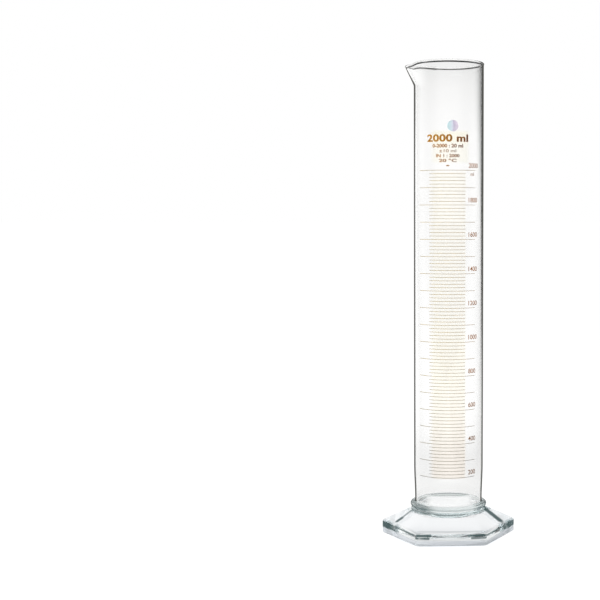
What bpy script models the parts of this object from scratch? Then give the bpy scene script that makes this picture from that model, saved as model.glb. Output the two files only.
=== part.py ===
"""Graduated measuring cylinder, 2000 ml, clear glass with a fused six-sided foot.

Frame: metres, +Z up, origin at the centre of the foot's underside on the bench. Two flats of the
foot face +Y and -Y and two of its corners point along +X and -X. The tube, with its scale and
spout, is turned a few degrees from the foot: the scale faces roughly -Y, the spout roughly -X.
"""

import math

import bmesh
import bpy
from mathutils import Matrix, Vector

MM = 0.001
SEGMENTS = 72                  # facets around a round piece
CLEARANCE = 0.3 * MM           # kept between neighbouring pieces

# ---------------------------------------------------------------- dimensions
# measuring tube
TUBE_R = 84.0 * MM / 2         # outside radius of the graduated length
TUBE_WALL = 2.4 * MM
TUBE_TOP = 569.4 * MM          # top of the rim before the spout is pulled
TUBE_BOTTOM = 31.2 * MM        # underside of the closed end
TUBE_BOTTOM_WALL = 3.4 * MM    # glass thickness of the closed end
TUBE_NECK_R = 40.8 * MM        # outside radius just above the collar, where the tube is drawn in
TUBE_NECK_Z = 42.0 * MM        # height where the tube starts to widen from that radius
TUBE_FULL_Z = 84.0 * MM        # height above which the tube has its full diameter
NECK_STEPS = 5                 # divisions of the widening length
HEEL_R = 7.0 * MM              # outside rounding from the wall into the closed end
INNER_HEEL_R = HEEL_R - 1.5 * MM
HEEL_STEPS = 5
RIM_BEAD_R = 1.7 * MM          # rim bead, thicker than the wall
RIM_BEAD_IN = 0.15 * MM        # how far the bead's middle lies inside the wall's middle
TUBE_TURN = math.radians(-6.6)  # turn of the tube and its print relative to the foot

# pouring spout, pulled out of the rim
SPOUT_REACH = 11.0 * MM        # how far the lip stands out beyond the tube
SPOUT_DEPTH = 28.5 * MM        # height of the spout's keel below the rim
SPOUT_DROP = 3.0 * MM          # how far the lip sags below the rim
SPOUT_DROP_SHARE = 0.62        # share of the reach from which the sag is full
SPOUT_WIDE = 25.0              # degrees, half-width of the spout around the rim
SPOUT_POWER = 2.4              # higher gives a flatter lip with steeper shoulders
SPOUT_SOFT = 0.12              # share of the depth over which the keel curves out of the wall
SPOUT_ROWS = 7                 # divisions of the depth
SQUEEZE = 0.30                 # how much the points draw together sideways at the lip
SQUEEZE_WIDE = 42.0            # degrees, half-width of that drawing together

# scale
INNER_R = TUBE_R - TUBE_WALL
STEP_100 = 1.0e-4 / (math.pi * INNER_R ** 2)  # height taken up by 100 ml, 1.0e-4 cubic metres
Z_2000 = 440.1 * MM            # height of the 2000 ml line
LINE_W = 0.45 * MM             # width of a graduation line
LINE_START = -51.0             # degrees from the scale's centre, towards -X
LINE_END = 51.6                # degrees from the scale's centre, towards +X
LINE_STEPS = 10                # facets along a line
PRINT_GAP = 0.3 * MM           # clearance between the glass and the print
PRINT_T = 0.2 * MM             # print thickness
PRINT_R = TUBE_R + PRINT_GAP   # inside radius of the print
SPOT_R = 6.6 * MM              # round spot above the scale
SPOT_Z = Z_2000 + 51.7 * MM
SPOT_ANGLE = 10.2              # degrees from the scale's centre, towards +X
SPOT_SEGMENTS = 32

# collar: the ring of glass around the tube's heel
BORE_R = TUBE_NECK_R + CLEARANCE
COLLAR_R = 46.3 * MM           # outside radius of the upper bead
COLLAR_TOP = 38.0 * MM
COLLAR_BOTTOM = 32.9 * MM
GROOVE_R = 44.4 * MM           # radius in the groove between the two beads

# foot
FOOT_APOTHEM = 70.8 * MM       # centre to flat
FOOT_SIDE_H = 15.2 * MM        # height of the upright side
FOOT_SLOPE = 0.515             # rise of the top faces towards the neck
FOOT_CAP_Z = 31.2 * MM         # height where the top faces end
FOOT_CORNER_R = 7.0 * MM       # rounding of the upright corners and the ridges
FOOT_TOP_EDGE_R = 3.6 * MM
FOOT_TOP_EDGE_SETBACK = 0.62   # bevel offset of the top edge as a share of its radius
FOOT_BOTTOM_EDGE_R = 1.6 * MM
NECK_BEAD_R = 45.3 * MM        # outside radius of the lower bead, part of the foot
NECK_BEAD_Z = 30.6 * MM
NECK_BEAD_SECTION_R = 1.7 * MM
NECK_TOP = COLLAR_BOTTOM - CLEARANCE
NECK_ROOT_Z = 26.0 * MM        # the neck's form starts here, inside the foot
SEAT_Z = TUBE_BOTTOM - CLEARANCE  # floor of the shallow seat for the tube's closed end
SEAT_MOUTH_R = BORE_R - 1.2 * MM
SEAT_OVERSHOOT = 2.0 * MM      # the seat's cutter stands this far above the neck
HOLLOW_R = 62.6 * MM           # hollow under the foot: radius at the bench
HOLLOW_SHOULDER_R = 61.4 * MM  # where its upright wall turns into a cone
HOLLOW_SHOULDER_Z = 7.8 * MM
HOLLOW_CEILING_R = 44.6 * MM   # where the cone runs into the ceiling
HOLLOW_CEILING_Z = 25.8 * MM
HOLLOW_OVERSHOOT = 4.0 * MM    # the hollow's cutter reaches this far below the bench

# ---------------------------------------------------------------- scene
for old in list(bpy.data.objects):
    bpy.data.objects.remove(old, do_unlink=True)


def new_collection(name):
    collection = bpy.data.collections.new(name)
    bpy.context.scene.collection.children.link(collection)
    return collection


parts = new_collection("graduated_cylinder")
cutters = new_collection("cutters")

# ---------------------------------------------------------------- materials
GLASS_IOR = 1.473


def material(name, color, roughness, transmission=0.0):
    mat = bpy.data.materials.new(name)
    mat.use_nodes = True
    inputs = mat.node_tree.nodes["Principled BSDF"].inputs
    inputs["Base Color"].default_value = (*color, 1.0)
    inputs["Roughness"].default_value = roughness
    inputs["Transmission Weight"].default_value = transmission
    inputs["IOR"].default_value = GLASS_IOR
    mat.diffuse_color = (*color, 1.0)
    return mat


TUBE_GLASS = material("tube_glass", color=(0.95, 0.97, 0.96), roughness=0.01, transmission=1.0)
COLLAR_GLASS = material("collar_glass", color=(0.90, 0.95, 0.94), roughness=0.02, transmission=1.0)
FOOT_GLASS = material("foot_glass", color=(0.86, 0.93, 0.92), roughness=0.03, transmission=1.0)
SCALE_PRINT = material("scale_print", color=(0.45, 0.26, 0.13), roughness=0.45)
SPOT_PRINT = material("spot_print", color=(0.66, 0.74, 0.86), roughness=0.35)


# ---------------------------------------------------------------- helpers
def to_mesh(name, form):
    """Turn a bmesh into a mesh and free it."""
    mesh = bpy.data.meshes.new(name)
    form.to_mesh(mesh)
    form.free()
    return mesh


def add(mesh, mat=None, collection=parts):
    """Make an object named after its mesh."""
    obj = bpy.data.objects.new(mesh.name, mesh)
    collection.objects.link(obj)
    if mat is not None:
        mesh.materials.append(mat)
    return obj


def recalc_normals(form):
    bmesh.ops.recalc_face_normals(form, faces=form.faces[:])


def smooth(mesh, degrees):
    """Smooth shading, with edges sharper than the given angle kept sharp."""
    mesh.shade_smooth()
    mesh.set_sharp_from_angle(angle=math.radians(degrees))


def arc(centre_r, centre_z, radius, start, end, count):
    """Points (radius, height) of an arc, angles in degrees in the half plane of the profile."""
    points = []
    for i in range(count + 1):
        angle = math.radians(start + (end - start) * i / count)
        points.append((centre_r + radius * math.cos(angle), centre_z + radius * math.sin(angle)))
    return points


def ease(t):
    """Smooth step from 0 to 1."""
    t = min(max(t, 0.0), 1.0)
    return t * t * (3.0 - 2.0 * t)


def add_outline(form, points):
    """Draw (radius, height) points as a chain of edges in the XZ plane."""
    verts = [form.verts.new((x, 0.0, z)) for x, z in points]
    edges = [form.edges.new(pair) for pair in zip(verts, verts[1:])]
    return verts, edges


def turned(name, points, mat=None, collection=parts, closed=False):
    """A profile of (radius, height) points turned around Z by a Screw modifier."""
    form = bmesh.new()
    verts, _ = add_outline(form, points)
    if closed:
        form.edges.new((verts[-1], verts[0]))
    obj = add(to_mesh(name, form), mat, collection)
    mod = obj.modifiers.new("turned", "SCREW")
    mod.axis = "Z"
    mod.angle = math.tau
    mod.steps = SEGMENTS
    mod.render_steps = SEGMENTS
    mod.use_merge_vertices = True
    mod.merge_threshold = 0.00001
    mod.use_smooth_shade = True
    return obj


def combine(obj, operation, name, points):
    """Join or cut a turned form; the form itself stays hidden from renders."""
    cutter = turned(name, points, collection=cutters)
    cutter.hide_render = True
    cutter.display_type = "WIRE"
    mod = obj.modifiers.new(operation.lower(), "BOOLEAN")
    mod.operation = operation
    mod.solver = "EXACT"
    mod.object = cutter


# ---------------------------------------------------------------- glass tube
def tube_profile():
    """Half section of the tube: up the outside, over the rim, down the inside."""
    wall = []
    for k in range(NECK_STEPS + 1):
        share = k / NECK_STEPS
        z = TUBE_NECK_Z + (TUBE_FULL_Z - TUBE_NECK_Z) * share
        wall.append((TUBE_NECK_R + (TUBE_R - TUBE_NECK_R) * ease(share), z))
    # rows of the spout; the rim bead takes the place of the topmost
    for k in range(SPOUT_ROWS):
        wall.append((TUBE_R, TUBE_TOP - SPOUT_DEPTH * (1 - k / SPOUT_ROWS)))

    inner_bottom = TUBE_BOTTOM + TUBE_BOTTOM_WALL
    heel = arc(TUBE_NECK_R - HEEL_R, TUBE_BOTTOM + HEEL_R, HEEL_R,
               start=-90, end=0, count=HEEL_STEPS)
    rim = arc(TUBE_R - TUBE_WALL / 2 - RIM_BEAD_IN, TUBE_TOP - RIM_BEAD_R, RIM_BEAD_R,
              start=-20, end=180, count=7)
    inner_wall = [(radius - TUBE_WALL, z) for radius, z in reversed(wall)]
    inner_heel = arc(TUBE_NECK_R - TUBE_WALL - INNER_HEEL_R, inner_bottom + INNER_HEEL_R,
                     INNER_HEEL_R, start=0, end=-90, count=HEEL_STEPS)
    outside = [(0.0, TUBE_BOTTOM)] + heel + wall
    inside = inner_wall + inner_heel + [(0.0, inner_bottom)]
    return outside + rim + inside


def spout_reach(z):
    """How far the keel stands out at a height: nothing at its root, the full reach at the lip."""
    t = (z - (TUBE_TOP - SPOUT_DEPTH)) / SPOUT_DEPTH
    if t <= 0.0:
        return 0.0
    rise = t * t / (2 * SPOUT_SOFT) if t < SPOUT_SOFT else t - SPOUT_SOFT / 2
    return SPOUT_REACH * rise / (1 - SPOUT_SOFT / 2)


def spout_share(degrees):
    """Share of the reach at an angle from the spout's middle: a rounded lip on soft shoulders."""
    return math.exp(-(abs(degrees) / SPOUT_WIDE) ** SPOUT_POWER)


def pull_spout(form):
    """Pull the spout out of the rim, towards -X."""
    for vert in form.verts:
        reach = spout_reach(vert.co.z)
        if reach <= 0.0:
            continue
        lip = ease(reach / SPOUT_REACH)
        radius = math.hypot(vert.co.x, vert.co.y)
        degrees = math.degrees(math.atan2(vert.co.y, -vert.co.x))
        # sideways the points draw together towards the lip, so that it stays finely divided
        degrees *= 1.0 - SQUEEZE * math.exp(-(degrees / SQUEEZE_WIDE) ** 2) * lip
        share = spout_share(degrees)
        radius += reach * share
        angle = math.radians(degrees)
        vert.co.x = -radius * math.cos(angle)
        vert.co.y = radius * math.sin(angle)
        vert.co.z -= SPOUT_DROP * ease(share / SPOUT_DROP_SHARE) * lip


def make_tube():
    form = bmesh.new()
    verts, edges = add_outline(form, tube_profile())
    bmesh.ops.spin(
        form, geom=verts + edges, cent=(0, 0, 0), axis=(0, 0, 1),
        angle=math.tau, steps=SEGMENTS, use_merge=True,
    )
    bmesh.ops.remove_doubles(form, verts=form.verts[:], dist=1e-6)
    pull_spout(form)
    recalc_normals(form)
    mesh = to_mesh("glass_tube", form)
    smooth(mesh, degrees=35)
    add(mesh, TUBE_GLASS).rotation_euler.z = TUBE_TURN


# ---------------------------------------------------------------- collar
def make_collar():
    """The upper bead: a ring whose bore follows the tube's heel with a small clearance."""
    bead_r = (COLLAR_TOP - COLLAR_BOTTOM) / 2
    middle = (COLLAR_TOP + COLLAR_BOTTOM) / 2
    points = [
        (BORE_R + 0.6 * MM, COLLAR_TOP),
        *arc(COLLAR_R - bead_r, middle, bead_r, start=75, end=-75, count=8),
        (GROOVE_R - 1.2 * MM, COLLAR_BOTTOM),
        # bore, upwards: drawn in at the bottom, eased at the top
        (BORE_R - 1.4 * MM, COLLAR_BOTTOM),
        (BORE_R - 0.4 * MM, COLLAR_BOTTOM + 1.8 * MM),
        (BORE_R, middle + 0.8 * MM),
        (BORE_R, COLLAR_TOP - 0.6 * MM),
    ]
    turned("weld_collar", points, COLLAR_GLASS, closed=True)


# ---------------------------------------------------------------- foot
def is_corner_or_ridge(edge):
    """True for an edge that climbs while keeping its direction from the centre."""
    a, b = (vert.co for vert in edge.verts)
    turn = math.atan2(a.y, a.x) - math.atan2(b.y, b.x)
    return abs((turn + math.pi) % math.tau - math.pi) < 0.01 and abs(a.z - b.z) > 1.0 * MM


def is_side_rim(edge, z):
    """True for an edge at height z that bounds the upright side."""
    return (
        all(abs(vert.co.z - z) < 0.2 * MM for vert in edge.verts)
        and len(edge.link_faces) == 2
        and any(abs(face.normal.z) < 0.1 for face in edge.link_faces)
    )


def round_edges(form, edges, offset, segments):
    bmesh.ops.bevel(
        form, geom=edges, offset=offset, offset_type="OFFSET", segments=segments,
        profile=0.5, affect="EDGES", clamp_overlap=True,
    )


def foot_body():
    """Solid hexagonal body with sloping top faces and rounded edges."""
    corner = FOOT_APOTHEM / math.cos(math.radians(30))
    form = bmesh.new()
    place = Matrix.Translation((0, 0, FOOT_SIDE_H / 2)) @ Matrix.Rotation(math.radians(30), 4, "Z")
    bmesh.ops.create_cone(
        form, cap_ends=True, segments=6, radius1=corner, radius2=corner,
        depth=FOOT_SIDE_H, matrix=place,
    )
    # top faces: the upper hexagon is drawn up and in
    top = [face for face in form.faces if face.normal.z > 0.9]
    extruded = bmesh.ops.extrude_face_region(form, geom=top)["geom"]
    bmesh.ops.delete(form, geom=top, context="FACES_ONLY")
    shrink = (FOOT_APOTHEM - (FOOT_CAP_Z - FOOT_SIDE_H) / FOOT_SLOPE) / FOOT_APOTHEM
    for item in extruded:
        if isinstance(item, bmesh.types.BMVert):
            item.co.x *= shrink
            item.co.y *= shrink
            item.co.z = FOOT_CAP_Z
    recalc_normals(form)

    round_edges(
        form, [edge for edge in form.edges if is_corner_or_ridge(edge)],
        offset=FOOT_CORNER_R * math.tan(math.radians(30)), segments=5,
    )
    for z, offset, segments in (
        (FOOT_SIDE_H, FOOT_TOP_EDGE_R * FOOT_TOP_EDGE_SETBACK, 4),
        (0.0, FOOT_BOTTOM_EDGE_R, 3),
    ):
        round_edges(form, [edge for edge in form.edges if is_side_rim(edge, z)], offset, segments)

    mesh = to_mesh("hexagonal_foot", form)
    smooth(mesh, degrees=25)
    return add(mesh, FOOT_GLASS)


def neck_profile():
    """Neck with the lower bead, from the top down."""
    return [
        (0.0, NECK_TOP),
        (GROOVE_R - 1.6 * MM, NECK_TOP),
        (GROOVE_R - 0.5 * MM, NECK_TOP - 0.3 * MM),
        *arc(NECK_BEAD_R - NECK_BEAD_SECTION_R, NECK_BEAD_Z, NECK_BEAD_SECTION_R,
             start=55, end=-60, count=6),
        (GROOVE_R - 2.5 * MM, NECK_ROOT_Z),
        (0.0, NECK_ROOT_Z),
    ]


def seat_profile():
    """Shallow seat for the tube's closed end, from the top down."""
    return [
        (0.0, NECK_TOP + SEAT_OVERSHOOT),
        (SEAT_MOUTH_R, NECK_TOP + SEAT_OVERSHOOT),
        (SEAT_MOUTH_R, NECK_TOP),
        (BORE_R - 3.6 * MM, SEAT_Z + 0.4 * MM),
        (BORE_R - 5.2 * MM, SEAT_Z),
        (0.0, SEAT_Z),
    ]


def hollow_profile():
    """Hollow underside, from the ceiling down, with eased turns at both ends of the cone."""
    return [
        (0.0, HOLLOW_CEILING_Z),
        (HOLLOW_CEILING_R - 2.4 * MM, HOLLOW_CEILING_Z),
        (HOLLOW_CEILING_R - 1.1 * MM, HOLLOW_CEILING_Z - 0.4 * MM),
        (HOLLOW_CEILING_R, HOLLOW_CEILING_Z - 1.2 * MM),
        (HOLLOW_SHOULDER_R, HOLLOW_SHOULDER_Z),
        (HOLLOW_SHOULDER_R + 0.7 * MM, HOLLOW_SHOULDER_Z - 1.2 * MM),
        (HOLLOW_SHOULDER_R + 0.9 * MM, HOLLOW_SHOULDER_Z - 2.8 * MM),
        (HOLLOW_R, 0.0),
        (HOLLOW_R, -HOLLOW_OVERSHOOT),
        (0.0, -HOLLOW_OVERSHOOT),
    ]


def make_foot():
    foot = foot_body()
    combine(foot, "UNION", "neck_form", neck_profile())
    combine(foot, "DIFFERENCE", "seat_cut", seat_profile())
    combine(foot, "DIFFERENCE", "hollow_cut", hollow_profile())


# ---------------------------------------------------------------- print
def around_tube(radius, angle, z):
    """Point at an angle in radians from the scale's centre, which faces -Y before the turn."""
    angle -= math.pi / 2
    return Vector((radius * math.cos(angle), radius * math.sin(angle), z))


def add_print(name, form, mat):
    recalc_normals(form)
    add(to_mesh(name, form), mat).rotation_euler.z = TUBE_TURN


def make_graduation(volume):
    """One line of the scale, volume in ml: a thin bar swept around the front of the tube."""
    z = Z_2000 - (2000 - volume) / 100 * STEP_100
    low, high = z - LINE_W / 2, z + LINE_W / 2
    outer = PRINT_R + PRINT_T
    section = [(PRINT_R, low), (outer, low), (outer, high), (PRINT_R, high)]
    start = math.radians(LINE_START)

    form = bmesh.new()
    face = form.faces.new([form.verts.new(around_tube(r, start, z)) for r, z in section])
    bmesh.ops.spin(
        form, geom=[face, *face.edges, *face.verts], cent=(0, 0, 0), axis=(0, 0, 1),
        angle=math.radians(LINE_END - LINE_START), steps=LINE_STEPS, use_merge=False,
    )
    add_print(f"graduation_{volume:04d}", form, SCALE_PRINT)


def make_round_mark():
    """A round spot: a thin upright disc whose points are laid onto the tube's radius."""
    form = bmesh.new()
    bmesh.ops.create_cone(
        form, cap_ends=True, segments=SPOT_SEGMENTS, radius1=SPOT_R, radius2=SPOT_R,
        depth=PRINT_T, matrix=Matrix.Rotation(math.radians(90), 4, "X"),
    )
    for vert in form.verts:
        radius = PRINT_R + (PRINT_T if vert.co.y < 0 else 0.0)
        angle = vert.co.x / TUBE_R + math.radians(SPOT_ANGLE)
        vert.co = around_tube(radius, angle, SPOT_Z + vert.co.z)
    add_print("round_mark", form, SPOT_PRINT)


make_tube()
make_collar()
make_foot()
for volume in range(200, 2001, 100):
    make_graduation(volume)
make_round_mark()
bpy.context.view_layer.update()
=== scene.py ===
"""2000 ml glass measuring cylinder: fine glass bodies, fired print and studio.

The cylinder stands on z = 0 with its axis on Z, its spout towards -X and its scale towards the
camera on the -Y side. The tube, the collar and the foot are one fused body, built as three closed
pieces. Their touching faces carry a clear joint material that neither bends nor reflects light,
so light runs through the three pieces as through one.
"""

import math

import bmesh
import bpy
import numpy as np
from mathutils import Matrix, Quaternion, Vector


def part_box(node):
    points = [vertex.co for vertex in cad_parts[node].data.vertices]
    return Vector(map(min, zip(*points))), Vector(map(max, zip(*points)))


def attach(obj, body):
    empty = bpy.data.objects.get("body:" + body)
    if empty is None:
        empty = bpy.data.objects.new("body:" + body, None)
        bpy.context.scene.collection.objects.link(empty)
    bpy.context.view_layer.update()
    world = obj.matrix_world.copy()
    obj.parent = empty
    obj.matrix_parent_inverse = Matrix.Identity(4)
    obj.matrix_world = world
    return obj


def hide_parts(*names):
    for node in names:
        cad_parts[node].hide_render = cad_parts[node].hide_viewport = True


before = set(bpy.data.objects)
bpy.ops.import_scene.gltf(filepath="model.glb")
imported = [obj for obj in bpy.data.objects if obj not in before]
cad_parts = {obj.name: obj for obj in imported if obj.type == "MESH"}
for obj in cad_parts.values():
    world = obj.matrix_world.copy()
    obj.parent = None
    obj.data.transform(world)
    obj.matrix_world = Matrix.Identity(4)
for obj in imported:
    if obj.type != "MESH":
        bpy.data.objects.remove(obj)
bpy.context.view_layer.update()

MM = 0.001
scene = bpy.context.scene


def mm(*lengths):
    return tuple(length * MM for length in lengths)


# ---------------------------------------------------------------- shared sizes
tube_lo, tube_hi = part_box("glass_tube")
_, foot_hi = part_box("hexagonal_foot")
collar_lo, collar_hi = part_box("weld_collar")
spot_lo, spot_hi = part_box("round_mark")

LINE_Z = {}                         # millilitres: height of the graduation line
for node_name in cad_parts:
    if node_name.startswith("graduation_"):
        line_lo, line_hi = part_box(node_name)
        LINE_Z[int(node_name.split("_")[1])] = (line_lo.z + line_hi.z) / 2
FIRST_LINE, MIDDLE_LINE, LAST_LINE = LINE_Z[200], LINE_Z[1000], LINE_Z[2000]

TOP = tube_hi.z
TUBE_BOTTOM = tube_lo.z
TURN = math.radians(-6.6)           # tube and print against the foot

WALL = 2.4 * MM
TUBE_R = 42.0 * MM                  # outside radius of the graduated length
NECK_R = 40.8 * MM                  # outside radius at the foot
HEEL_R = 7.0 * MM                   # rounding of the closed end

SPOUT_REACH = 11.0 * MM
SPOUT_DEPTH = 28.5 * MM
SPOUT_DROP = 3.0 * MM               # how far the lip of the spout sinks below the rim
SPOUT_BOTTOM = TOP - SPOUT_DEPTH

SEAM_Z = collar_lo.z - 0.1 * MM     # underside of the collar
GAP = 0.05 * MM                     # between touching pieces

SPOT_X = (spot_lo.x + spot_hi.x) / 2
CLEAR, JOINED, GROUND = 0, 1, 2     # material slots of the glass pieces


# ---------------------------------------------------------------- node trees
class Nodes:
    """Short hand for a node tree. All methods but node() return an output socket."""

    def __init__(self, owner):
        owner.use_nodes = True
        self.tree = owner.node_tree
        self.tree.nodes.clear()

    def node(self, kind, **inputs):
        """Add a node. _key sets a property, i0, i1... an input by place; __ stands for a space."""
        node = self.tree.nodes.new("ShaderNode" + kind)
        for key, value in inputs.items():
            if key.startswith("_"):
                setattr(node, key[1:], value)
                continue
            by_place = key[0] == "i" and key[1:].isdigit()
            socket = node.inputs[int(key[1:]) if by_place else key.replace("__", " ")]
            if isinstance(value, bpy.types.NodeSocket):
                self.tree.links.new(value, socket)
            else:
                socket.default_value = value
        return node

    def add(self, kind, **inputs):
        return self.node(kind, **inputs).outputs[0]

    def split(self, vector):
        return tuple(self.node("SeparateXYZ", Vector=vector).outputs)

    def coordinates(self, kind):
        return self.node("TexCoord").outputs[kind]

    def math(self, operation, first, second=0.0):
        return self.add("Math", _operation=operation, i0=first, i1=second)

    def product(self, first, *others):
        for other in others:
            first = self.math("MULTIPLY", first, other)
        return first

    def length(self, x, y):
        squares = self.math("ADD", self.product(x, x), self.product(y, y))
        return self.math("SQRT", squares)

    def vector(self, operation, output="Vector", **inputs):
        return self.node("VectorMath", _operation=operation, **inputs).outputs[output]

    def noise(self, place, scale, detail, roughness=0.5):
        inputs = dict(Vector=place, Scale=scale, Detail=detail, Roughness=roughness)
        return self.node("TexNoise", **inputs).outputs["Fac"]

    def ramp(self, value, stops):
        """Colour by value. stops: (position, red-green-blue)."""
        node = self.node("ValToRGB", Fac=value)
        elements = node.color_ramp.elements
        while len(elements) < len(stops):
            elements.new(0.5)
        for element, (position, color) in zip(elements, stops):
            element.position = position
            element.color = (*color, 1.0)
        return node.outputs["Color"]

    def map(self, value, over, to, smooth=True):
        """Carry the range over onto the range to, clamped at both ends."""
        steps = "SMOOTHSTEP" if smooth else "LINEAR"
        return self.add(
            "MapRange", _interpolation_type=steps, _clamp=True, Value=value,
            From__Min=over[0], From__Max=over[1], To__Min=to[0], To__Max=to[1],
        )

    def rise(self, value, over):
        return self.map(value, over, to=(0.0, 1.0))

    def fall(self, value, over):
        return self.map(value, over, to=(1.0, 0.0))

    def mix(self, share, below, above):
        return self.add("MixShader", i0=share, i1=below, i2=above)

    def emission(self, color):
        return self.add("Emission", Color=(*color, 1.0), Strength=1.0)

    def transparent(self, color):
        return self.add("BsdfTransparent", Color=(*color, 1.0))

    def pass_light(self, shown, color, path):
        """Let shadow and diffuse rays straight through, tinted; other rays meet the glass."""
        easy = self.math("MAXIMUM", path["Is Shadow Ray"], path["Is Diffuse Ray"])
        return self.mix(easy, shown, self.transparent(color))

    def full_for_camera(self, level):
        """Full strength for the camera's own rays, the given level for all others."""
        path = self.node("LightPath").outputs
        return self.add("Mix", i0=path["Is Camera Ray"], i2=level, i3=1.0)


def new_material(name, view_color=(0.8, 0.8, 0.8, 1.0)):
    material = bpy.data.materials.new(name)
    material.diffuse_color = view_color
    return material


# ---------------------------------------------------------------- clear glass
GLASS_IOR = 1.473

# directions from parts of the cylinder towards the camera
FOOT_SIGHT = (-0.0508, -0.9686, 0.2432)
SCALE_SIGHT = (-0.052, -0.997, 0.060)
RIM_SIGHT = (-0.0519, -0.9909, -0.1242)


class Glass(Nodes):
    """Clear glass with faintly uneven faces, with painted shade and painted light laid on as dark
    lines and bright places.
    """

    def __init__(self, name, surface, wave, wave_scale, stretch=(1, 1, 1)):
        self.material = new_material(name, view_color=(0.9, 0.95, 0.95, 0.4))
        super().__init__(self.material)
        self.surface = surface
        self.place = self.coordinates("Object")
        self.path = self.node("LightPath").outputs
        self.geometry = self.node("NewGeometry").outputs
        normal = self.geometry["Normal"]
        incoming = self.geometry["Incoming"]
        toward = self.vector("DOT_PRODUCT", output="Value", i0=normal, i1=incoming)
        self.facing = self.math("ABSOLUTE", toward)

        mapped = self.add("Mapping", Vector=self.place, Scale=stretch)
        waves = self.noise(mapped, scale=wave_scale, detail=2.0, roughness=0.45)
        patches = self.noise(mapped, scale=wave_scale * 0.3, detail=1.0)
        dimmer = tuple(channel * 0.996 for channel in surface)
        self.shown = self.add(
            "BsdfPrincipled",
            Base__Color=self.ramp(patches, [(0.3, dimmer), (0.7, surface)]),
            Roughness=0.0, IOR=GLASS_IOR, Transmission__Weight=1.0,
            Normal=self.add("Bump", Strength=1.0, Distance=wave, Height=waves),
        )

    def cover(self, share, color):
        # painted light and painted shade: the colour glows over the glass by the share
        self.shown = self.mix(share, self.shown, self.emission(color))

    def outside(self):
        return self.math("SUBTRACT", 1.0, self.geometry["Backfacing"])

    def seen_along(self, sight):
        """1 for rays that come from the camera's direction, through other glass or straight."""
        toward = self.vector("DOT_PRODUCT", output="Value", i0=self.geometry["Incoming"], i1=sight)
        return self.rise(toward, over=(0.93, 0.99))

    def from_front(self):
        return self.product(self.seen_along(FOOT_SIGHT), self.path["Is Camera Ray"])

    def stroke(self, start, end, radius):
        """1 close to the straight line from start to end (mm), 0 beyond the radius (mm)."""
        start = Vector(start) * MM
        line = Vector(end) * MM - start
        from_start = self.vector("SUBTRACT", i0=self.place, i1=tuple(start))
        unit = tuple(line / line.length_squared)
        share = self.vector("DOT_PRODUCT", output="Value", i0=from_start, i1=unit)
        share = self.math("MINIMUM", self.math("MAXIMUM", share, 0.0), 1.0)
        nearest = self.vector("SCALE", i0=tuple(line), Scale=share)
        off = self.vector("SUBTRACT", i0=from_start, i1=nearest)
        distance = self.vector("LENGTH", output="Value", i0=off)
        return self.fall(distance, over=(radius * 0.35 * MM, radius * MM))

    def strokes(self, lines, drawn=None):
        """The strongest of many strokes. lines: (start, end, radius, strength)."""
        for start, end, radius, strength in lines:
            part = self.product(self.stroke(start, end, radius), strength)
            drawn = part if drawn is None else self.math("MAXIMUM", drawn, part)
        return drawn

    def add_contour(self, strength):
        """Painted shade: dark lines where the far side of the glass is first seen at a glancing
        angle.
        """
        first = self.math("LESS_THAN", self.path["Ray Depth"], 1.5)
        first = self.product(self.geometry["Backfacing"], first)
        glance = self.map(self.facing, over=(0.16, 0.42), to=(strength, 0.0))
        self.cover(self.product(glance, first), (0.05, 0.085, 0.085))

    def finish(self, absorb, density):
        """Close the tree with the light lost along the path inside."""
        clear = [channel ** 1.5 for channel in self.surface]
        self.add_output(
            Surface=self.pass_light(self.shown, clear, self.path),
            Volume=self.add("VolumeAbsorption", Color=(*absorb, 1.0), Density=density),
        )
        return self.material

    def add_output(self, **inputs):
        self.node("OutputMaterial", **inputs)


# ---------------------------------------------------------------- tube glass
# points (mm) along the near and the far edge of the spout's lip, for strokes of painted shade
NEAR_LIP = (
    (-50.9, -1.5, 563.2), (-48.0, -8.4, 563.3), (-45.8, -11.4, 563.5), (-43.5, -14.1, 564.2),
    (-41.2, -16.6, 565.2), (-37.1, -21.2, 566.3), (-32.9, -26.1, 566.5),
)
FAR_LIP = (
    (-50.1, 9.4, 564.0), (-46.9, 15.8, 564.1), (-41.6, 20.8, 564.4), (-38.7, 22.9, 565.2),
    (-35.9, 24.8, 566.0), (-30.7, 28.3, 566.8), (-22.5, 34.1, 566.9), (-14.0, 38.2, 566.9),
)


def add_outline(glass):
    """A thin line of painted shade on upright faces just before they turn away, wider at the upper
    left.
    """
    _, _, normal_z = glass.split(glass.geometry["Normal"])
    upright = glass.math("SUBTRACT", 1.0, glass.math("ABSOLUTE", normal_z))
    x, _, z = glass.split(glass.place)
    wider = glass.product(
        glass.map(z, over=(TOP - 110 * MM, TOP - 45 * MM), to=(0.0, 0.025)),
        glass.fall(x, over=mm(-5, 5)),
    )
    turned = glass.product(
        glass.fall(glass.math("SUBTRACT", glass.facing, wider), over=(0.23, 0.34)),
        glass.rise(upright, over=(0.35, 0.55)),
        glass.path["Is Camera Ray"],
    )
    # on the spout only its keel, not the hollow between keel and tube
    x, y, z = glass.split(glass.place)
    radius = glass.length(x, y)
    keel = glass.map(z, over=(SPOUT_BOTTOM, TOP), to=(TUBE_R, TUBE_R + SPOUT_REACH), smooth=False)
    on_keel = glass.rise(glass.math("SUBTRACT", radius, keel), over=mm(-3.2, -1.4))
    away = glass.rise(x, over=mm(-10, 10))
    share = glass.product(turned, glass.math("MAXIMUM", on_keel, away))
    glass.cover(share, (0.10, 0.10, 0.09))


def add_bright_bottom(glass, x, z):
    """Painted light: the closed end of the tube, looked down on through the front wall, is full of
    light.
    """
    inside = glass.product(
        glass.rise(z, over=mm(39.6, 41.2)),
        glass.fall(z, over=mm(50.5, 53.5)),
        glass.map(glass.math("ABSOLUTE", x), over=mm(20, 34), to=(0.80, 0.0)),
    )
    glass.cover(glass.product(inside, glass.from_front()), (0.985, 0.99, 0.99))


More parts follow.
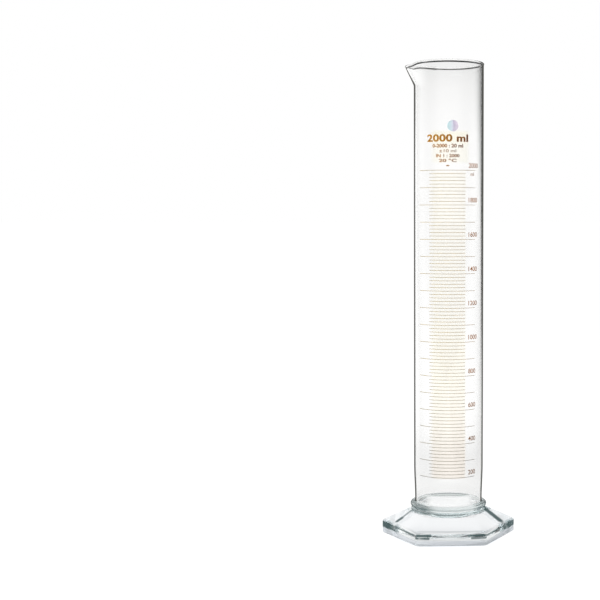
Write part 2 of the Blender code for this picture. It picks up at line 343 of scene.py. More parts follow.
def add_amber_bleed(glass, x, y, z):
    """Painted amber glow, seen from the front only, laid faintly onto the glass around the lines
    and the heading.
    """
    front = glass.product(
        glass.product(glass.outside(), glass.path["Is Camera Ray"]),
        glass.rise(y, over=mm(-34, -38)),
        glass.seen_along(SCALE_SIGHT),
    )
    scale_height = glass.product(
        glass.rise(z, over=(FIRST_LINE - 2 * MM, FIRST_LINE)),
        glass.fall(z, over=(LAST_LINE - 3 * MM, LAST_LINE)),
    )
    scale_width = glass.product(
        glass.rise(x, over=mm(-26, -22)), glass.fall(x, over=mm(16, 20))
    )
    strength = glass.map(z, over=(FIRST_LINE, LINE_Z[1200]), to=(0.32, 0.10), smooth=False)
    around_scale = glass.product(scale_height, scale_width, strength)
    around_heading = glass.product(
        glass.map(z, over=(LAST_LINE + 6 * MM, LAST_LINE + 12 * MM), to=(0.0, 0.6)),
        glass.fall(z, over=(LAST_LINE + 43 * MM, LAST_LINE + 48 * MM)),
        glass.map(z, over=(LAST_LINE + 28 * MM, LAST_LINE + 35 * MM), to=(0.8, 1.5)),
        glass.product(
            glass.map(x, over=mm(-32, -20), to=(0.0, 0.28)), glass.fall(x, over=mm(18, 28))
        ),
    )
    height = glass.rise(z, over=(FIRST_LINE, MIDDLE_LINE))
    tone = glass.ramp(height, [(0.0, (0.92, 0.76, 0.58)), (1.0, (0.96, 0.85, 0.42))])
    # the amber is painted light: it glows only for camera rays from the front
    amber = glass.add("Emission", Color=tone, Strength=1.0)
    share = glass.product(front, glass.math("MAXIMUM", around_scale, around_heading))
    glass.shown = glass.mix(share, glass.shown, amber)


def add_rim_lines(glass, x, y, z):
    """Painted shade: the lip of the spout and the far side of the rim get the darkest lines."""
    lines = [
        (start, end, radius, strength)
        for points, radius, strength in ((NEAR_LIP, 1.5, 0.62), (FAR_LIP, 2.2, 0.92))
        for start, end in zip(points, points[1:])
    ]
    off_bead = glass.math("ABSOLUTE", glass.math("SUBTRACT", z, TOP - 2.5 * MM))
    back = glass.product(
        glass.rise(y, over=mm(2, 10)),
        glass.fall(off_bead, over=mm(0.5, 1.2)),
        glass.map(x, over=mm(8, 30), to=(0.12, 0.60)),
    )
    drawn = glass.math("MAXIMUM", glass.strokes(lines), back)
    glass.cover(glass.product(drawn, glass.seen_along(RIM_SIGHT)), (0.03, 0.03, 0.028))


def tube_glass():
    glass = Glass(
        "tube_glass", surface=(0.998, 0.997, 0.994), wave=0.00003, wave_scale=22.0,
        stretch=(1, 1, 0.12),
    )
    add_outline(glass)
    x, y, z = glass.split(glass.place)
    add_bright_bottom(glass, x, z)
    add_amber_bleed(glass, x, y, z)
    add_rim_lines(glass, x, y, z)
    return glass.finish(absorb=(0.60, 0.70, 0.68), density=3.0)


# ---------------------------------------------------------------- collar glass
def add_bead_edges(glass):
    """Painted shade: the outside of the small beads darkens where it turns away."""
    turned = glass.map(glass.facing, over=(0.12, 0.36), to=(0.75, 0.0))
    glass.cover(glass.product(turned, glass.outside()), (0.06, 0.09, 0.09))


def collar_glass():
    """Seen from the front the beads get painted light in the middle and painted shade towards
    either side.
    """
    glass = Glass("collar_glass", surface=(0.998,) * 3, wave=0.00003, wave_scale=60.0)
    glass.add_contour(strength=0.6)
    add_bead_edges(glass)
    x, y, z = glass.split(glass.place)
    front = glass.from_front()

    # painted shade: a dark level line on the far side
    off_line = glass.math("ABSOLUTE", glass.math("SUBTRACT", z, 36.0 * MM))
    behind = glass.product(
        glass.map(y, over=mm(6, 14), to=(0.0, 0.80)), glass.fall(off_line, over=mm(0.5, 1.0))
    )
    seen = glass.product(glass.seen_along(FOOT_SIGHT), glass.geometry["Backfacing"])
    glass.cover(glass.product(behind, seen), (0.14, 0.17, 0.18))

    # painted light: pale in the middle
    middle = glass.product(glass.rise(x, over=mm(-32, -16)), glass.fall(x, over=mm(26, 36)))
    glass.cover(glass.product(glass.product(middle, 0.45), front), (0.86, 0.90, 0.90))

    # painted shade towards either side, broken into patches and stronger low down
    specks = glass.noise(glass.place, scale=260.0, detail=2.0)
    sides = glass.product(
        glass.math("SUBTRACT", 1.0, middle),
        glass.map(specks, over=(0.42, 0.60), to=(0.30, 0.88)),
    )
    low = glass.map(z, over=mm(34.2, 36.6), to=(1.0, 0.25))
    glass.cover(glass.product(sides, low, front), (0.11, 0.15, 0.16))
    return glass.finish(absorb=(0.50, 0.72, 0.70), density=3.0)


# ---------------------------------------------------------------- foot glass
# painted shade, as dark streaks: start (mm), end (mm), radius (mm), strength
FOOT_STROKES = (
    # down the slope towards the right and the left corner
    ((44.4, -8.7, 29.6), (61.0, -22.7, 18.6), 7.2, 0.95),
    ((-44.9, -9.8, 29.1), (-62.7, -20.5, 18.4), 2.9, 0.68),
    ((-57.5, -18.0, 21.5), (-62.7, -20.5, 18.4), 4.2, 0.92),
    # along the upper edge of the left and the right side
    ((-66.0, -27.0, 13.2), (-44.0, -65.4, 12.4), 1.4, 0.80),
    ((66.0, -27.0, 12.8), (42.0, -68.8, 12.4), 1.4, 0.80),
    # at both ends of the front side, high and low
    ((-44.0, -70.0, 13.0), (-25.0, -70.8, 12.7), 2.3, 0.96),
    ((20.0, -70.8, 12.4), (41.7, -70.8, 13.2), 1.9, 0.90),
    ((-44.0, -69.0, 9.9), (-27.0, -70.8, 9.5), 2.0, 0.90),
    ((24.0, -70.8, 9.3), (42.7, -70.0, 9.9), 1.6, 0.80),
    # faint lines along the front side and its upper edge
    ((-25.0, -70.8, 12.6), (20.0, -70.8, 12.2), 0.8, 0.25),
    ((-45.0, -66.2, 17.6), (-4.0, -67.8, 16.8), 1.5, 0.22),
    ((-4.0, -67.8, 16.8), (39.0, -67.3, 17.0), 1.5, 0.22),
)


def foot_glass():
    """Seen from the front the corners get painted shade where they gather the dark side of the
    studio, painted dark streaks run along the edges and the top faces towards the corners get
    painted light where they throw back the ceiling."""
    glass = Glass("foot_glass", surface=(0.998,) * 3, wave=0.00006, wave_scale=45.0)
    glass.add_contour(strength=0.85)
    x, _, z = glass.split(glass.place)
    from_middle = glass.math("ABSOLUTE", x)

    # painted shade at the corners, broken into patches
    specks = glass.noise(glass.place, scale=330.0, detail=2.0, roughness=0.6)
    broken = glass.math(
        "MAXIMUM",
        glass.map(specks, over=(0.40, 0.54), to=(0.72, 1.0)),
        glass.map(x, over=mm(-63, -71), to=(0.0, 0.99)),
    )
    side = glass.product(glass.rise(z, over=mm(7.0, 8.2)), glass.fall(z, over=mm(13.8, 15.0)))
    corner = glass.product(glass.rise(from_middle, over=mm(61, 67)), side)
    dark = glass.strokes(FOOT_STROKES, drawn=glass.product(corner, glass.product(broken, 0.95)))
    # painted light on the top faces
    bright = glass.product(
        glass.map(from_middle, over=mm(44, 54), to=(0.68, 0.75)),
        glass.rise(z, over=mm(15.0, 17.4)),
        glass.fall(z, over=mm(27.0, 28.6)),
    )
    front = glass.from_front()
    glass.cover(glass.product(bright, front), (0.955, 0.97, 0.985))
    glass.cover(glass.product(dark, front), (0.070, 0.110, 0.112))
    return glass.finish(absorb=(0.50, 0.71, 0.72), density=5.0)


# ---------------------------------------------------------------- ground glass and joint
def ground_glass():
    """The lower edge of the foot, ground matt: pale, cool, with faint streaks along the edge."""
    material = new_material("ground_foot_glass", view_color=(0.8, 0.84, 0.88, 1.0))
    nodes = Nodes(material)
    flat = nodes.add("Mapping", Vector=nodes.coordinates("Object"), Scale=(14.0, 14.0, 420.0))
    streaks = nodes.noise(flat, scale=1.0, detail=3.0)
    color = nodes.ramp(streaks, [(0.30, (0.66, 0.70, 0.75)), (0.72, (0.86, 0.89, 0.93))])
    body = nodes.add(
        "BsdfPrincipled", Base__Color=color, Roughness=0.42, IOR=GLASS_IOR,
        Transmission__Weight=0.55,
    )
    path = nodes.node("LightPath").outputs
    nodes.add_surface = nodes.pass_light(body, (0.9, 0.92, 0.94), path)
    nodes.node("OutputMaterial", Surface=nodes.add_surface)
    return material


def joint():
    material = new_material("fused_joint", view_color=(1, 1, 1, 0.1))
    nodes = Nodes(material)
    nodes.node("OutputMaterial", Surface=nodes.transparent((1, 1, 1)))
    return material


# ---------------------------------------------------------------- print materials
def stain(name, left, right, density=0.3, low=1.0):
    """Fired stain: colour left turning to right across the scale, slightly uneven in strength.
    density is its opaque share; low under 1 makes it darker towards the foot."""
    material = new_material(name, view_color=(*right, 1.0))
    nodes = Nodes(material)
    place = nodes.coordinates("Object")
    x, _, z = nodes.split(place)
    between = tuple(a * 0.6 + b * 0.4 for a, b in zip(left, right))
    across = nodes.rise(x, over=mm(-30, 28))
    color = nodes.ramp(across, [(0.0, left), (0.45, between), (1.0, right)])
    grain = nodes.noise(place, scale=900.0, detail=3.0, roughness=0.6)
    patches = nodes.noise(place, scale=90.0, detail=2.0)
    uneven = nodes.product(
        nodes.map(grain, over=(0.25, 0.75), to=(0.82, 1.18)),
        nodes.map(patches, over=(0.3, 0.7), to=(0.9, 1.1)),
        nodes.map(z, over=(FIRST_LINE, MIDDLE_LINE), to=(low, 1.0), smooth=False),
    )
    varied = nodes.node(
        "Mix", _data_type="RGBA", _blend_type="MULTIPLY", i0=1.0, i6=color, i7=uneven
    ).outputs[2]
    bump = nodes.add("Bump", Strength=0.4, Distance=0.00003, Height=grain)
    body = nodes.add("BsdfPrincipled", Base__Color=varied, Roughness=0.5, Normal=bump)
    # light from behind comes through coloured; it crosses two faces, hence the square root
    root = nodes.add("Gamma", Color=varied, Gamma=0.5)
    clear = nodes.add("BsdfTransparent", Color=root)
    nodes.node("OutputMaterial", Surface=nodes.mix(density, clear, body))
    return material


def spot_material():
    """Glossy pale spot, blue-green on the left sliding to lilac on the right."""
    material = new_material("spot_print", view_color=(0.75, 0.8, 0.92, 1.0))
    nodes = Nodes(material)
    place = nodes.coordinates("Object")
    x, _, _ = nodes.split(place)
    specks = nodes.noise(place, scale=330.0, detail=2.0)
    shift = nodes.product(nodes.math("SUBTRACT", specks, 0.5), 0.5)
    across = nodes.rise(x, over=(SPOT_X - 7 * MM, SPOT_X + 7 * MM))
    color = nodes.ramp(nodes.math("ADD", across, shift), [
        (0.1, (0.60, 0.82, 0.86)), (0.42, (0.80, 0.86, 0.97)),
        (0.62, (0.60, 0.54, 0.72)), (0.95, (0.86, 0.76, 0.90)),
    ])
    body = nodes.add("BsdfPrincipled", Base__Color=color, Roughness=0.3, Coat__Weight=0.4)
    opaque_share = 0.62
    surface = nodes.mix(opaque_share, nodes.transparent((1, 1, 1)), body)
    nodes.node("OutputMaterial", Surface=surface)
    return material


TUBE_GLASS = tube_glass()
COLLAR_GLASS = collar_glass()
FOOT_GLASS = foot_glass()
GROUND_GLASS = ground_glass()
JOINT = joint()
LINE_PRINT = stain(
    "scale_print", left=(0.48, 0.33, 0.03), right=(0.42, 0.25, 0.05), density=0.34, low=0.30
)
NUMBER_PRINT = stain(
    "number_print", left=(0.56, 0.33, 0.08), right=(0.50, 0.24, 0.10), low=0.6
)
HEADING_PRINT = stain("heading_print", left=(0.56, 0.27, 0.02), right=(0.18, 0.045, 0.015))


# ---------------------------------------------------------------- building glass bodies
def ease(share):
    share = np.clip(share, 0.0, 1.0)
    return share * share * (3.0 - 2.0 * share)


def arc(middle_r, middle_z, radius, start, end, count):
    """(radius, height) points of an arc; start and end in degrees."""
    return [
        (middle_r + radius * math.cos(angle), middle_z + radius * math.sin(angle))
        for angle in np.radians(np.linspace(start, end, count + 1))
    ]


def ring(radius, z, angles):
    """Points once around the axis; the radius may change with the angle."""
    x, y = radius * np.cos(angles), radius * np.sin(angles)
    return np.stack([x, y, z * np.ones_like(angles)], axis=-1)


def without_repeats(corners):
    return [corner for i, corner in enumerate(corners) if corner != corners[i - 1]]


def glass_body(name, rows, row_slots, materials, stands_for, closed=False):
    """A closed skin through rings of points. The first and last ring shrink to points on the
    axis, or with closed=True the last ring joins the first. row_slots: material slot from each
    ring to the next."""
    rows = np.array(rows)
    row_count, columns, _ = rows.shape
    index = np.zeros((row_count, columns), int)
    verts = []
    for i, row in enumerate(rows):
        if not closed and i in (0, row_count - 1):
            index[i, :] = len(verts)
            verts.append(tuple(row.mean(0)))
        else:
            index[i, :] = range(len(verts), len(verts) + columns)
            verts.extend(map(tuple, row))
    faces, face_slots = [], []
    for i in range(row_count if closed else row_count - 1):
        above = (i + 1) % row_count
        for j in range(columns):
            beside = (j + 1) % columns
            quad = [index[i, j], index[i, beside], index[above, beside], index[above, j]]
            faces.append(without_repeats(quad))
            face_slots.append(row_slots[i])
    mesh = bpy.data.meshes.new(name)
    mesh.from_pydata(verts, [], faces)
    mesh.update()
    solid = bmesh.new()
    solid.from_mesh(mesh)
    bmesh.ops.recalc_face_normals(solid, faces=solid.faces[:])
    solid.to_mesh(mesh)
    solid.free()
    mesh.shade_smooth()
    body = bpy.data.objects.new(name, mesh)
    scene.collection.objects.link(body)
    for material in materials:
        mesh.materials.append(material)
    mesh.polygons.foreach_set("material_index", face_slots)
    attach(body, "root")
    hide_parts(stands_for)


# ---------------------------------------------------------------- glass tube
TUBE_COLUMNS = 260
WALL_MIDDLE_R = TUBE_R - WALL / 2
BORE_END_Z = 38.9 * MM              # where the straight bore of the collar starts
JOINT_TOP = 39.3 * MM               # below this the tube's outside is inside the collar
NECK_Z, FULL_Z = mm(42.0, 84.0)     # the tube widens from the neck to its full radius
BOTTOM_WALL = 3.4 * MM
INNER_HEEL_R = HEEL_R - 0.6 * MM
FLOOR_RADII = (0.0, 0.012, 0.024)   # rings in the closed end, inside the heel

RIM_BEAD_R = 1.7 * MM
RIM_BEAD_SHIFT = -0.15 * MM         # middle of the bead against the middle of the wall
RIM_Z = TOP - RIM_BEAD_R            # height of the bead's middle
BEAD_FOOT_Z = RIM_Z - 1.75 * MM     # where the wall runs into the bead
SPOUT_HEIGHTS = np.linspace(SPOUT_BOTTOM, RIM_Z - 2.4 * MM, 28)


def spout_share(angles, z):
    """Share of the spout's reach by angle from its middle: a little wider further down."""
    degrees = (np.degrees(angles) + 180.0) % 360.0 - 180.0
    below = 1.0 - ease((z - SPOUT_BOTTOM) / SPOUT_DEPTH)
    return np.exp(-((np.abs(degrees) / (25.0 + 2.0 * below)) ** 2.4))


def spout_reach(z):
    """Reach at a height: starts softly, then grows evenly."""
    rise = (z - SPOUT_BOTTOM) / SPOUT_DEPTH
    soft = 0.12
    grown = np.where(rise < soft, np.maximum(rise, 0.0) ** 2 / (2 * soft), rise - soft / 2)
    return SPOUT_REACH * grown / (1 - soft / 2)


def wall_middle(angles, z):
    """Middle of the wall, with the spout at angle 0, for a nominal height z."""
    reach = spout_reach(z)
    share = spout_share(angles, z)
    radius = WALL_MIDDLE_R + reach * share
    drop = SPOUT_DROP * ease(share / 0.62) * ease(reach / SPOUT_REACH)
    return np.stack([radius * np.cos(angles), radius * np.sin(angles), z - drop], axis=-1)


def wall_frame(angles, z):
    """Points on the middle of the wall, their normals outwards and their directions upwards."""
    angle_step, height_step = 1e-4, 1e-6
    around = wall_middle(angles + angle_step, z) - wall_middle(angles - angle_step, z)
    up = wall_middle(angles, z + height_step) - wall_middle(angles, z - height_step)
    up /= np.linalg.norm(up, axis=-1, keepdims=True)
    out = np.cross(around, up)
    out /= np.linalg.norm(out, axis=-1, keepdims=True)
    return wall_middle(angles, z), out, up


def wall_row(angles, z, offset):
    points, out, _ = wall_frame(angles, z)
    return points + out * offset


def rim_rows(angles):
    """The fire-polished bead around the rim, from its outer foot over the top to its inner foot."""
    points, out, up = wall_frame(angles, RIM_Z)
    rows = [wall_row(angles, BEAD_FOOT_Z, WALL / 2 + 0.04 * MM)]
    for turn in np.radians(np.linspace(-34, 226, 35)):
        across = math.cos(turn) * out + math.sin(turn) * up
        rows.append(points + RIM_BEAD_SHIFT * out + RIM_BEAD_R * across)
    rows.append(wall_row(angles, BEAD_FOOT_Z, -(WALL / 2 - 0.03 * MM)))
    return rows


def tube_outside():
    """(radius, height) from the axis up to below the spout."""
    points = [(radius, TUBE_BOTTOM) for radius in FLOOR_RADII]
    points += arc(NECK_R - HEEL_R, TUBE_BOTTOM + HEEL_R, HEEL_R, -90, 0, 12)
    points += [(NECK_R, BORE_END_Z), (NECK_R, JOINT_TOP), (NECK_R, 40.4 * MM)]
    for z in np.linspace(NECK_Z, FULL_Z, 15):
        widened = float(ease((z - NECK_Z) / (FULL_Z - NECK_Z)))
        points.append((NECK_R + (TUBE_R - NECK_R) * widened, z))
    straight = np.linspace(FULL_Z, SPOUT_BOTTOM - 4 * MM, 24)[1:]
    return points + [(TUBE_R, z) for z in straight]


def tube_inside(outside):
    """(radius, height) from below the spout down to the axis."""
    floor_z = TUBE_BOTTOM + BOTTOM_WALL
    heel_z = floor_z + INNER_HEEL_R
    points = [(r - WALL, z) for r, z in reversed(outside) if z > heel_z + 0.2 * MM]
    heel = arc(NECK_R - WALL - INNER_HEEL_R, heel_z, INNER_HEEL_R, -90, 0, 12)
    points += reversed(heel)
    sinks = mm(0.35, 0.3, 0.15)     # the floor sinks slightly towards the axis
    points += reversed([(r, floor_z - sink) for r, sink in zip(FLOOR_RADII, sinks)])
    return points


def make_tube():
    even = np.linspace(0, 2 * np.pi, TUBE_COLUMNS, endpoint=False)
    angles = even - 0.5 * np.sin(even)              # columns draw together at the spout
    outside = tube_outside()
    rows = [ring(radius, z, angles) for radius, z in outside]
    rows += [wall_row(angles, z, WALL / 2) for z in SPOUT_HEIGHTS]
    rows += rim_rows(angles)
    rows += [wall_row(angles, z, -WALL / 2) for z in reversed(SPOUT_HEIGHTS)]
    rows += [ring(radius, z, angles) for radius, z in tube_inside(outside)]
    slots = [JOINED if z < JOINT_TOP - 0.01 * MM else CLEAR for _, z in outside]
    slots += [CLEAR] * (len(rows) - len(slots))

    points = np.array(rows)
    x, y = points[..., 0].copy(), points[..., 1].copy()
    turn = math.pi + TURN                           # spout towards -X, turned with the tube
    points[..., 0] = math.cos(turn) * x - math.sin(turn) * y
    points[..., 1] = math.sin(turn) * x + math.cos(turn) * y
    glass_body(
        "glass_tube_fine", points, slots, (TUBE_GLASS, JOINT),
        stands_for="glass_tube",
    )


# ---------------------------------------------------------------- collar
COLLAR_COLUMNS = 220
COLLAR_BORE_R = NECK_R + GAP
COLLAR_BEAD_R = 2.5 * MM
COLLAR_BEAD_Z = 35.8 * MM
LIP_Z = 39.5 * MM
HOLLOW_R = 1.7 * MM                 # hollow between the lip on the tube and the bead


def make_collar():
    outside = [(COLLAR_BORE_R + 0.02 * MM, LIP_Z)]
    for degrees in range(12, 64, 10):
        angle = math.radians(degrees)
        radius = COLLAR_BORE_R + HOLLOW_R - HOLLOW_R * math.cos(angle)
        outside.append((radius, LIP_Z - HOLLOW_R * math.sin(angle) * 1.05))
    outside += arc(collar_hi.x - COLLAR_BEAD_R, COLLAR_BEAD_Z, COLLAR_BEAD_R, 112, -58, 22)
    outside.append((outside[-1][0] - 0.6 * MM, SEAM_Z + 0.35 * MM))

    touching = [(43.8 * MM, SEAM_Z), (NECK_R - 1.4 * MM, SEAM_Z)]
    heel = arc(NECK_R - HEEL_R, TUBE_BOTTOM + HEEL_R, HEEL_R, -48, 0, 8)
    touching += [(radius + GAP, z) for radius, z in heel]
    touching.append((COLLAR_BORE_R, BORE_END_Z))

    angles = np.linspace(0, 2 * np.pi, COLLAR_COLUMNS, endpoint=False)
    glass_body(
        "weld_collar_fine", [ring(radius, z, angles) for radius, z in outside + touching],
        [CLEAR] * len(outside) + [JOINED] * len(touching), (COLLAR_GLASS, JOINT),
        stands_for="weld_collar", closed=True,
    )


# ---------------------------------------------------------------- foot
FOOT_COLUMNS = 480
FLAT_R = foot_hi.y                  # axis to the middle of a side
SIDE_H = 15.2 * MM                  # where the slope would meet the side
SLOPE = 0.515                       # rise over run of the upper faces
CORNER_R = 7.0 * MM
TOP_EDGE_R, BOTTOM_EDGE_R = mm(3.6, 1.6)
GROUND_Z = 6.7 * MM                 # the side is ground matt below this
GROUND_INSET = 0.12 * MM

NECK_TOP = SEAM_Z - GAP
NECK_EDGE_R = 43.7 * MM             # outer edge of the face under the collar
NECK_ROOT_R = 43.8 * MM             # round neck above and below its bead
NECK_BEAD_OUT, NECK_BEAD_R, NECK_BEAD_Z = mm(45.3, 1.65, 30.7)

HOLLOW_EDGE_R = 62.6 * MM           # hollow underneath: lower edge
HOLLOW_LIP_R = 1.2 * MM
CONE_TOP_R = 44.6 * MM              # upper end of its conical part
CONE_ROUND_R = 3.4 * MM             # rounding from the cone into the ceiling


def hexagon_r(angles, flat_r):
    """Axis to a six-sided outline with rounded corners, one corner along +X."""
    half_side = math.radians(30)
    from_corner = np.abs((angles + half_side) % math.radians(60) - half_side)
    from_flat = half_side - from_corner
    inner = flat_r - CORNER_R
    flat_end = np.arctan(inner * math.tan(half_side) / flat_r)
    corner_middle = inner / math.cos(half_side)
    aside = corner_middle * np.sin(from_corner)
    reach = np.sqrt(np.maximum(CORNER_R ** 2 - aside ** 2, 0.0))
    rounded = corner_middle * np.cos(from_corner) + reach
    return np.where(from_flat <= flat_end, flat_r / np.cos(from_flat), rounded)


def smooth_max(first, second, width):
    share = np.clip(0.5 + 0.5 * (first - second) / width, 0, 1)
    return second * (1 - share) + first * share + width * share * (1 - share)


def neck_r(z):
    """Radius of the round neck with its bead."""
    off = z - NECK_BEAD_Z
    if abs(off) >= NECK_BEAD_R:
        return NECK_ROOT_R
    bead = NECK_BEAD_OUT - NECK_BEAD_R + math.sqrt(max(NECK_BEAD_R ** 2 - off ** 2, 0.0))
    return max(bead, NECK_ROOT_R)


def foot_seat():
    """(radius, height) of the seat for the tube and the face under the collar."""
    points = [(radius, TUBE_BOTTOM - GAP) for radius in FLOOR_RADII]
    for radius, z in arc(NECK_R - HEEL_R, TUBE_BOTTOM + HEEL_R, HEEL_R, -90, -56, 6):
        points.append((radius + GAP * 0.7, z - GAP * 0.7))
    points = [point for point in points if point[1] < NECK_TOP - 0.02 * MM]
    return points + [(NECK_R - 1.9 * MM, NECK_TOP)]


def foot_outside(angles):
    """(radius by angle, height) from the neck down to the bench."""
    slope_angle = math.atan(SLOPE)
    edge_r = FLAT_R - TOP_EDGE_R                    # middle of the upper edge's rounding
    edge_z = SIDE_H - TOP_EDGE_R * math.tan((math.pi / 2 - slope_angle) / 2)
    slope_end_z = edge_z + TOP_EDGE_R * math.cos(slope_angle)
    slope_end_r = edge_r + TOP_EDGE_R * math.sin(slope_angle)

    rows = []
    neck_heights = np.linspace(NECK_TOP, 27.2 * MM, 26)[1:]
    slope_heights = np.linspace(26.8 * MM, slope_end_z, 16)
    for z in np.concatenate([neck_heights, slope_heights]):
        outline = hexagon_r(angles, slope_end_r - (z - slope_end_z) / SLOPE)
        blend_width = 1.1 * MM if z > 26.9 * MM else 1e-6
        rows.append((smooth_max(outline, neck_r(z), blend_width), z))
    for angle in np.linspace(math.pi / 2 - slope_angle, 0, 10)[1:]:
        outline = hexagon_r(angles, edge_r + TOP_EDGE_R * math.cos(angle))
        rows.append((outline, edge_z + TOP_EDGE_R * math.sin(angle)))
    side_heights = mm(11.0, 9.0, 7.4) + (GROUND_Z, GROUND_Z - 0.25 * MM)
    side_heights += mm(4.8, 3.6) + (BOTTOM_EDGE_R,)
    for z in side_heights:
        inset = GROUND_INSET if z < GROUND_Z else 0.0
        rows.append((hexagon_r(angles, FLAT_R - inset), z))
    bottom_edge = arc(
        FLAT_R - GROUND_INSET - BOTTOM_EDGE_R, BOTTOM_EDGE_R, BOTTOM_EDGE_R, 0, -90, 8
    )
    return rows + [(hexagon_r(angles, flat_r), z) for flat_r, z in bottom_edge[1:]]


def foot_underside(angles):
    """(radius, height) of the flat rim on the bench, then of the hollow up to the axis."""
    lip_r = HOLLOW_EDGE_R + HOLLOW_LIP_R
    edge = hexagon_r(angles, FLAT_R - BOTTOM_EDGE_R)
    rim = [(edge * (1 - share) + lip_r * share, 0.0) for share in (0.4, 0.8)]

    hollow = arc(lip_r, HOLLOW_LIP_R, HOLLOW_LIP_R, 270, 180, 5)
    hollow += [mm(62.4, 3.5), mm(62.2, 5.6)]
    hollow += arc(60.0 * MM, 6.3 * MM, 2.1 * MM, 2, 45, 6)
    cone_r, cone_z = hollow[-1]
    cone_run = cone_r - CONE_TOP_R                  # the cone rises at 45 degrees
    hollow += [(cone_r - cone_run * share, cone_z + cone_run * share) for share in (0.33, 0.66, 1)]
    offset = CONE_ROUND_R * math.sin(math.radians(45))
    round_z = cone_z + cone_run - offset
    hollow += arc(CONE_TOP_R - offset, round_z, CONE_ROUND_R, 45, 90, 6)[1:]
    ceiling = ((36.0, 3.45), (20.0, 3.6), (0.0, 3.7))   # radius, height over round_z in mm
    hollow += [(radius * MM, round_z + rise * MM) for radius, rise in ceiling]
    return rim + hollow


def make_foot():
    angles = np.linspace(0, 2 * np.pi, FOOT_COLUMNS, endpoint=False)
    seat = foot_seat()
    outside = foot_outside(angles)
    underside = foot_underside(angles)
    profile = seat + [(NECK_EDGE_R, NECK_TOP)] + outside + underside
    slots = [JOINED] * len(seat) + [CLEAR]
    slots += [GROUND if z <= GROUND_Z + 1e-9 else CLEAR for _, z in outside]
    slots += [CLEAR] * len(underside)
    glass_body(
        "hexagonal_foot_fine", [ring(radius, z, angles) for radius, z in profile], slots,
        (FOOT_GLASS, JOINT, GROUND_GLASS), stands_for="hexagonal_foot",
    )


# ---------------------------------------------------------------- fired print
PRINT_R = TUBE_R + 0.03 * MM
PRINT_T = 0.06 * MM
SCALE_MIDDLE = -math.pi / 2 + TURN  # angle of the scale's middle; print angles count from here
LINE_W = 0.46 * MM
LONG_LINE = (-51.0, 51.6)           # start and end in degrees
SHORT_LINE = (-29.4, 31.6)
HEADING_ANGLE = 2.0

# name, text, figure height (mm), degrees, height over the 2000 line (mm),
# letter spacing, stroke weight, width (mm)
HEADINGS = (
    ("capacity", "2000 ml", 8.0, HEADING_ANGLE - 0.5, 33.6, 1.04, 0.035, 51.0),
    ("division", "0-2000 : 20 ml", 3.9, HEADING_ANGLE, 26.6, 1.0, 0.035, 37.0),
    ("tolerance", "±10 ml", 3.5, HEADING_ANGLE, 20.8, 1.0, 0.01, 20.0),
    ("contents", "IN 1 : 2000", 3.5, HEADING_ANGLE, 15.2, 1.0, 0.03, 28.0),
    ("temperature", "20 °C", 3.5, HEADING_ANGLE, 9.6, 1.0, 0.03, 21.0),
)

# share of the spot's radius, share of the print's thickness: a raised rim, then the back
SPOT_PROFILE = (
    (0.0, 1.0), (0.3, 1.0), (0.6, 1.0), (0.84, 1.0), (0.9, 1.8), (0.95, 1.8), (1.0, 0.9),
    (1.0, 0.0), (0.5, 0.0), (0.0, 0.0),
)
SPOT_COLUMNS = 64


def on_tube(depth, angle, z):
    """The point at a depth over the inner face of the print."""
    radius = PRINT_R + depth
    return radius * math.cos(angle), radius * math.sin(angle), z


def print_object(name, solid, mesh, material, stands_for=None):
    bmesh.ops.recalc_face_normals(solid, faces=solid.faces[:])
    solid.to_mesh(mesh)
    solid.free()
    mesh.materials.append(material)
    piece = bpy.data.objects.new(name, mesh)
    scene.collection.objects.link(piece)
    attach(piece, "root")
    if stands_for:
        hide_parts(stands_for)


def add_bar(solid, start, end, z, width):
    """A thin strip bent around the tube with rounded ends; start and end in degrees."""
    half = width / 2
    cap = math.degrees(half / TUBE_R)

    def cap_half(share):
        return half * math.sqrt(max(1 - (1 - share) ** 2, 0.08))

    cap_shares = (0.0, 0.35, 0.7)
    segments = max(8, int((end - start) / 1.6))
    # (degrees, half width) along the strip
    stations = [(start + cap * share, cap_half(share)) for share in cap_shares]
    for share in np.linspace(0, 1, segments + 1):
        stations.append((start + cap + (end - start - 2 * cap) * share, half))
    stations += [(end - cap * share, cap_half(share)) for share in reversed(cap_shares)]

    sections = []
    for degrees, half_width in stations:
        angle = SCALE_MIDDLE + math.radians(degrees)
        corners = ((0.0, -1), (PRINT_T, -1), (PRINT_T, 1), (0.0, 1))
        sections.append([
            solid.verts.new(on_tube(depth, angle, z + side * half_width))
            for depth, side in corners
        ])
    for near, far in zip(sections, sections[1:]):
        for i in range(4):
            j = (i + 1) % 4
            solid.faces.new((near[i], near[j], far[j], far[i]))
    solid.faces.new(sections[0][::-1])
    solid.faces.new(sections[-1])


def make_bars(name, span, heights, material, width=LINE_W, stands_for=None):
    solid = bmesh.new()
    for z in heights:
        add_bar(solid, *span, z, width)
    print_object(name, solid, bpy.data.meshes.new(name), material, stands_for=stands_for)


def text_curve(name, text):
    """A text curve of size 1 in the built-in face, and the object that shows it."""
    curve = bpy.data.curves.new(name, "FONT")
    curve.body = text
    curve.size = 1.0
    holder = bpy.data.objects.new(name + "_curve", curve)
    scene.collection.objects.link(holder)
    return curve, holder


def remove_text(curve, holder):
    bpy.data.objects.remove(holder, do_unlink=True)
    bpy.data.curves.remove(curve)


def measure_figure():
    """Height of a figure of the built-in face at size 1."""
    curve, holder = text_curve("measure", "2")
    bpy.context.view_layer.update()
    height = holder.dimensions.y
    remove_text(curve, holder)
    return height


FIGURE_H = measure_figure()


